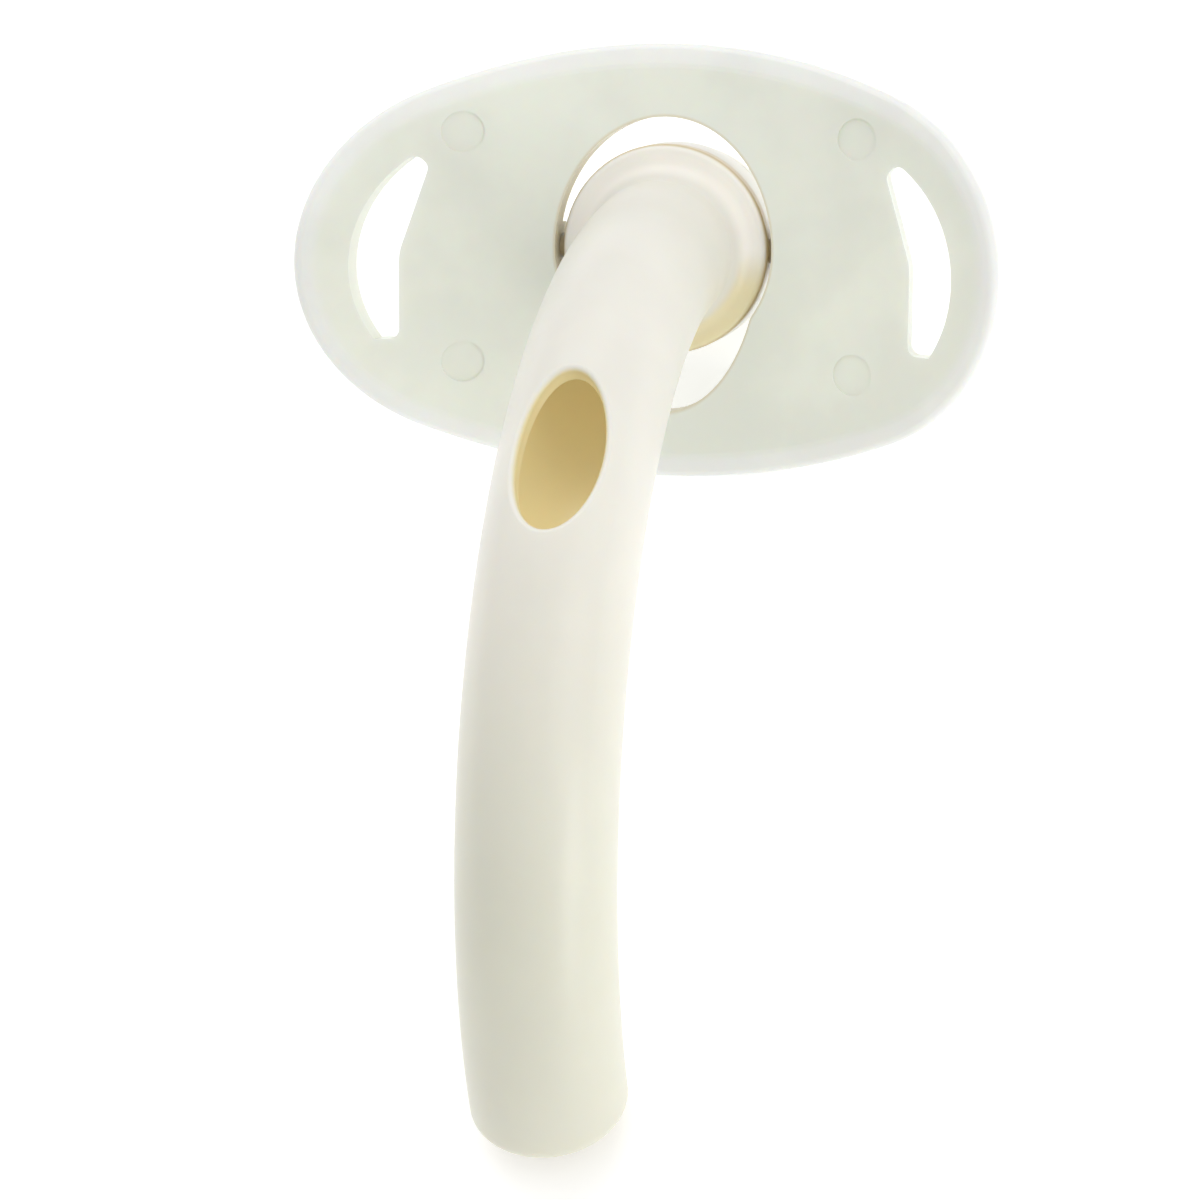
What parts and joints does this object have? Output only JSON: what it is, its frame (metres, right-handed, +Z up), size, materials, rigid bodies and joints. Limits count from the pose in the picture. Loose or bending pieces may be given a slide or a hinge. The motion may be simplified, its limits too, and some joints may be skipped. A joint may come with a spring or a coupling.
{
  "type": "tracheostomy tube",
  "caption": "Curved uncuffed tracheostomy tube with a window in its outer curve and a bent oval neck flange that swivels on the hub and has tie slots.",
  "frame": {"origin": "below the middle of the part's box, on the surface that it lies on", "axes": "+Y from the hub towards the tube's tip, +Z up out of the window, +X to one side"},
  "size_m": [0.0586, 0.0912, 0.0333],
  "materials": {
    "cannula": "smooth ivory white moulded plastic with a soft satin sheen",
    "flange": "slightly translucent pale greenish white moulded plastic, satin"
  },
  "bodies": {
    "cannula": {"outer_cannula": "cannula"},
    "flange": {"neck_flange": "flange"}
  },
  "joints": [
    {"name": "flange_swivel", "type": "hinge", "parent": "cannula", "child": "flange", "pos_m": [0, -0.03244, 0.01211], "axis": [1, 0, 0], "range_deg": [-20, 20]}
  ]
}
